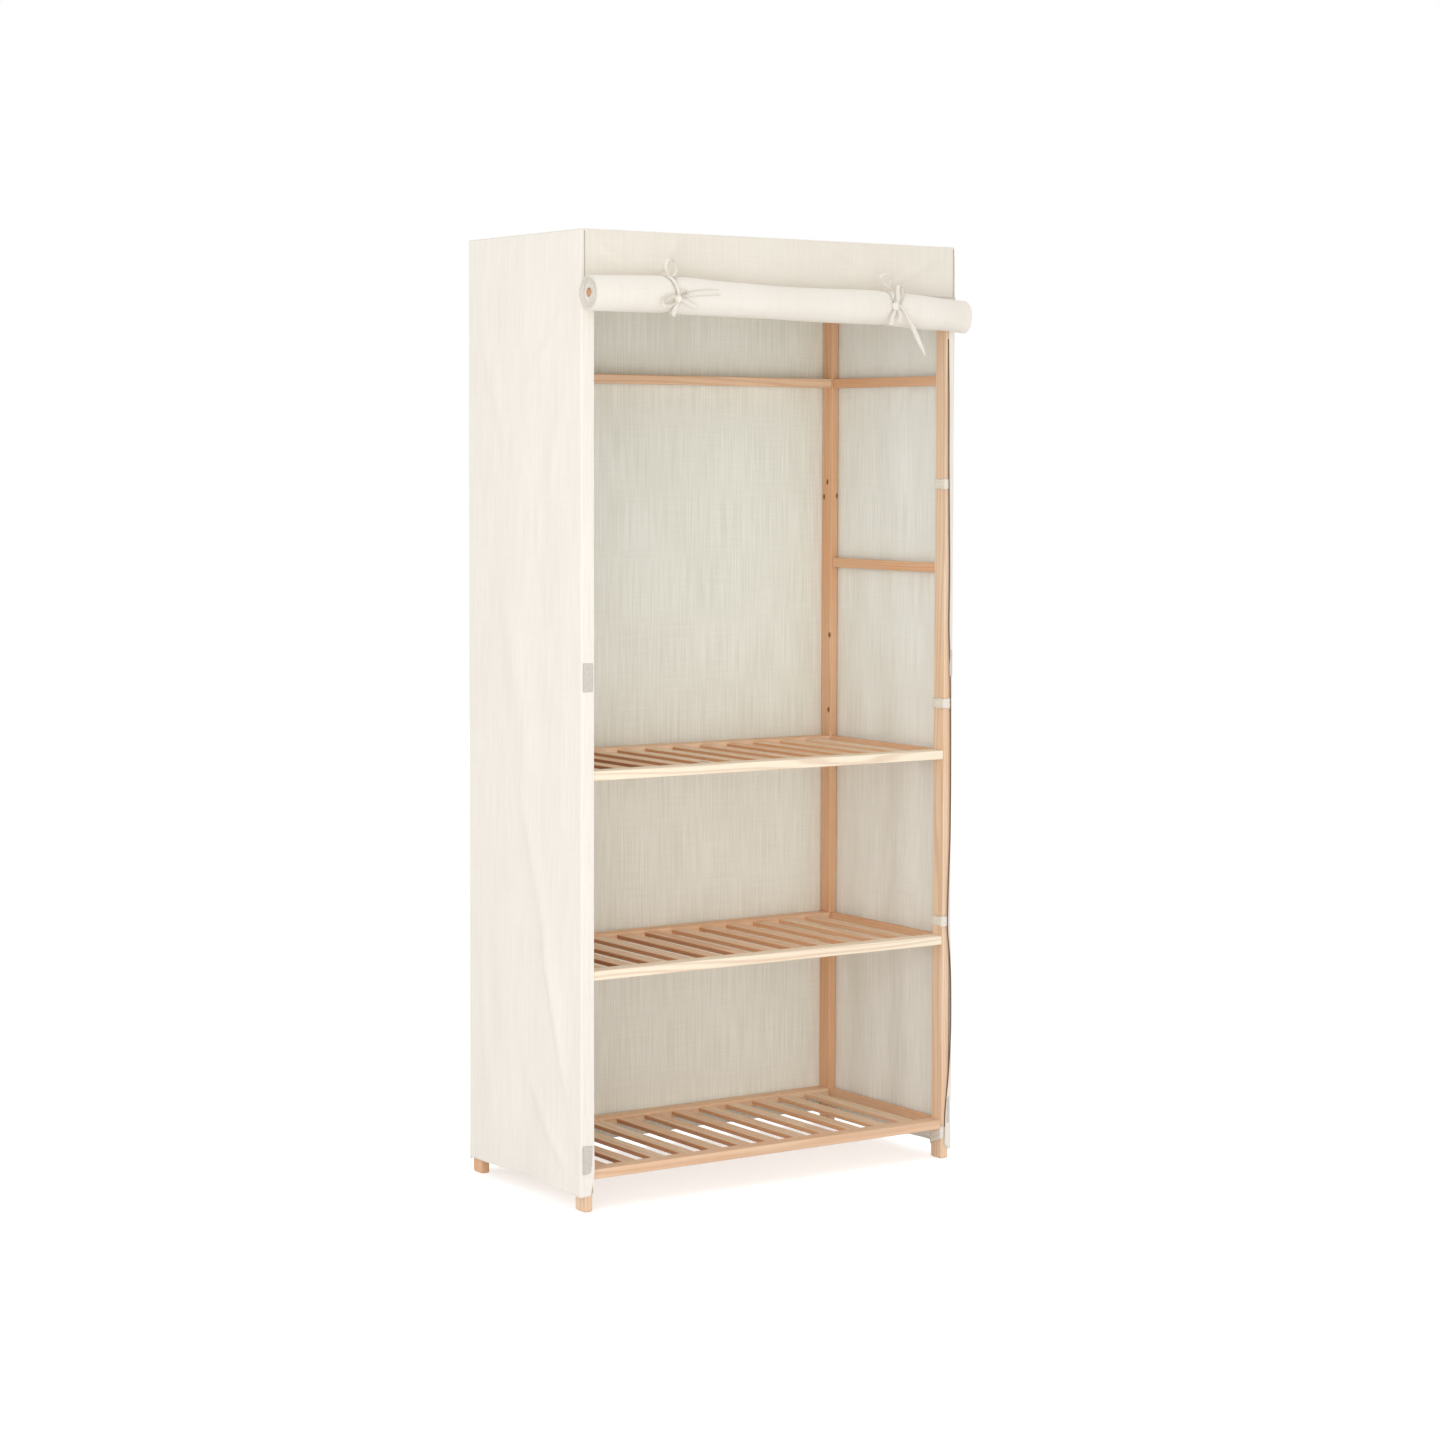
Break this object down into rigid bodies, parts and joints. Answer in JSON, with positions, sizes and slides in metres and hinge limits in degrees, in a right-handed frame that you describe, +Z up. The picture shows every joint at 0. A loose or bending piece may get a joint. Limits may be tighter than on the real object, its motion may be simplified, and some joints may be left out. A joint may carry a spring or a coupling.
{
  "type": "portable fabric wardrobe",
  "caption": "Portable wardrobe: pine frame with slatted shelves and a hanging rod, a cream cotton cover, and a front curtain rolled up round a dowel and held by tied tapes.",
  "frame": {"origin": "on the floor, under the middle of the whole with its roll and ties", "axes": "+X to the right as seen from the front, +Y from the open front to the back, +Z up"},
  "size_m": [0.808, 0.4842, 1.7013],
  "materials": {
    "pine": "clear satin lacquer",
    "cover_cloth": "matt woven cotton",
    "curtain_cloth": "matt woven cotton",
    "tape": "matt woven tape",
    "closing_patch": "matt hook and loop tape",
    "screw_steel": "zinc plated"
  },
  "bodies": {
    "wardrobe_frame": {"post_front_left": "pine", "post_back_left": "pine", "post_front_right": "pine", "post_back_right": "pine", "rung_left_1": "pine", "rung_left_2": "pine", "rung_left_3": "pine", "rung_left_4": "pine", "rung_left_5": "pine", "rod_board_left": "pine", "rung_right_1": "pine", "rung_right_2": "pine", "rung_right_3": "pine", "rung_right_4": "pine", "rung_right_5": "pine", "rod_board_right": "pine", "hanging_rod": "pine", "upper_back_rail": "pine", "top_front_rail": "pine", "top_back_rail": "pine", "shelf_1": "pine", "shelf_2": "pine", "shelf_3": "pine", "shelf_1_front_screw_left": "screw_steel", "shelf_1_front_screw_right": "screw_steel", "shelf_1_back_screw_left": "screw_steel", "shelf_1_back_screw_right": "screw_steel", "shelf_2_front_screw_left": "screw_steel", "shelf_2_front_screw_right": "screw_steel", "shelf_2_back_screw_left": "screw_steel", "shelf_2_back_screw_right": "screw_steel", "shelf_3_front_screw_left": "screw_steel", "shelf_3_front_screw_right": "screw_steel", "shelf_3_back_screw_left": "screw_steel", "shelf_3_back_screw_right": "screw_steel", "upper_back_screw_left": "screw_steel", "upper_back_screw_right": "screw_steel", "top_front_screw_left": "screw_steel", "top_front_screw_right": "screw_steel", "top_back_screw_left": "screw_steel", "top_back_screw_right": "screw_steel", "cover_left": "cover_cloth", "cover_right": "cover_cloth", "cover_back": "cover_cloth", "cover_top": "cover_cloth", "cover_valance": "cover_cloth", "cover_left_return": "cover_cloth", "cover_right_return": "cover_cloth", "closing_patch_left_lower": "closing_patch", "closing_patch_right_lower": "closing_patch", "closing_patch_left_upper": "closing_patch", "closing_patch_right_upper": "closing_patch", "curtain_sheet": "curtain_cloth", "tie_left": "tape", "tie_right": "tape"},
    "curtain_carrier": {"curtain_dowel": "pine"},
    "curtain_wrap": {"curtain_roll": "curtain_cloth"}
  },
  "joints": [
    {"name": "curtain_drop", "type": "slide", "parent": "wardrobe_frame", "child": "curtain_carrier", "axis": [0, 0, -1], "range_m": [0, 1.522], "deforming": ["curtain_sheet", "tie_left", "tie_right"]},
    {"name": "curtain_turn", "type": "hinge", "parent": "curtain_carrier", "child": "curtain_wrap", "pos_m": [0, -0.20013, 1.581], "axis": [1, 0, 0], "range_deg": [0, 4125]}
  ],
  "couplings": [
    {"joint": "curtain_turn", "follows": "curtain_drop", "rad_per_m": 47.281}
  ]
}
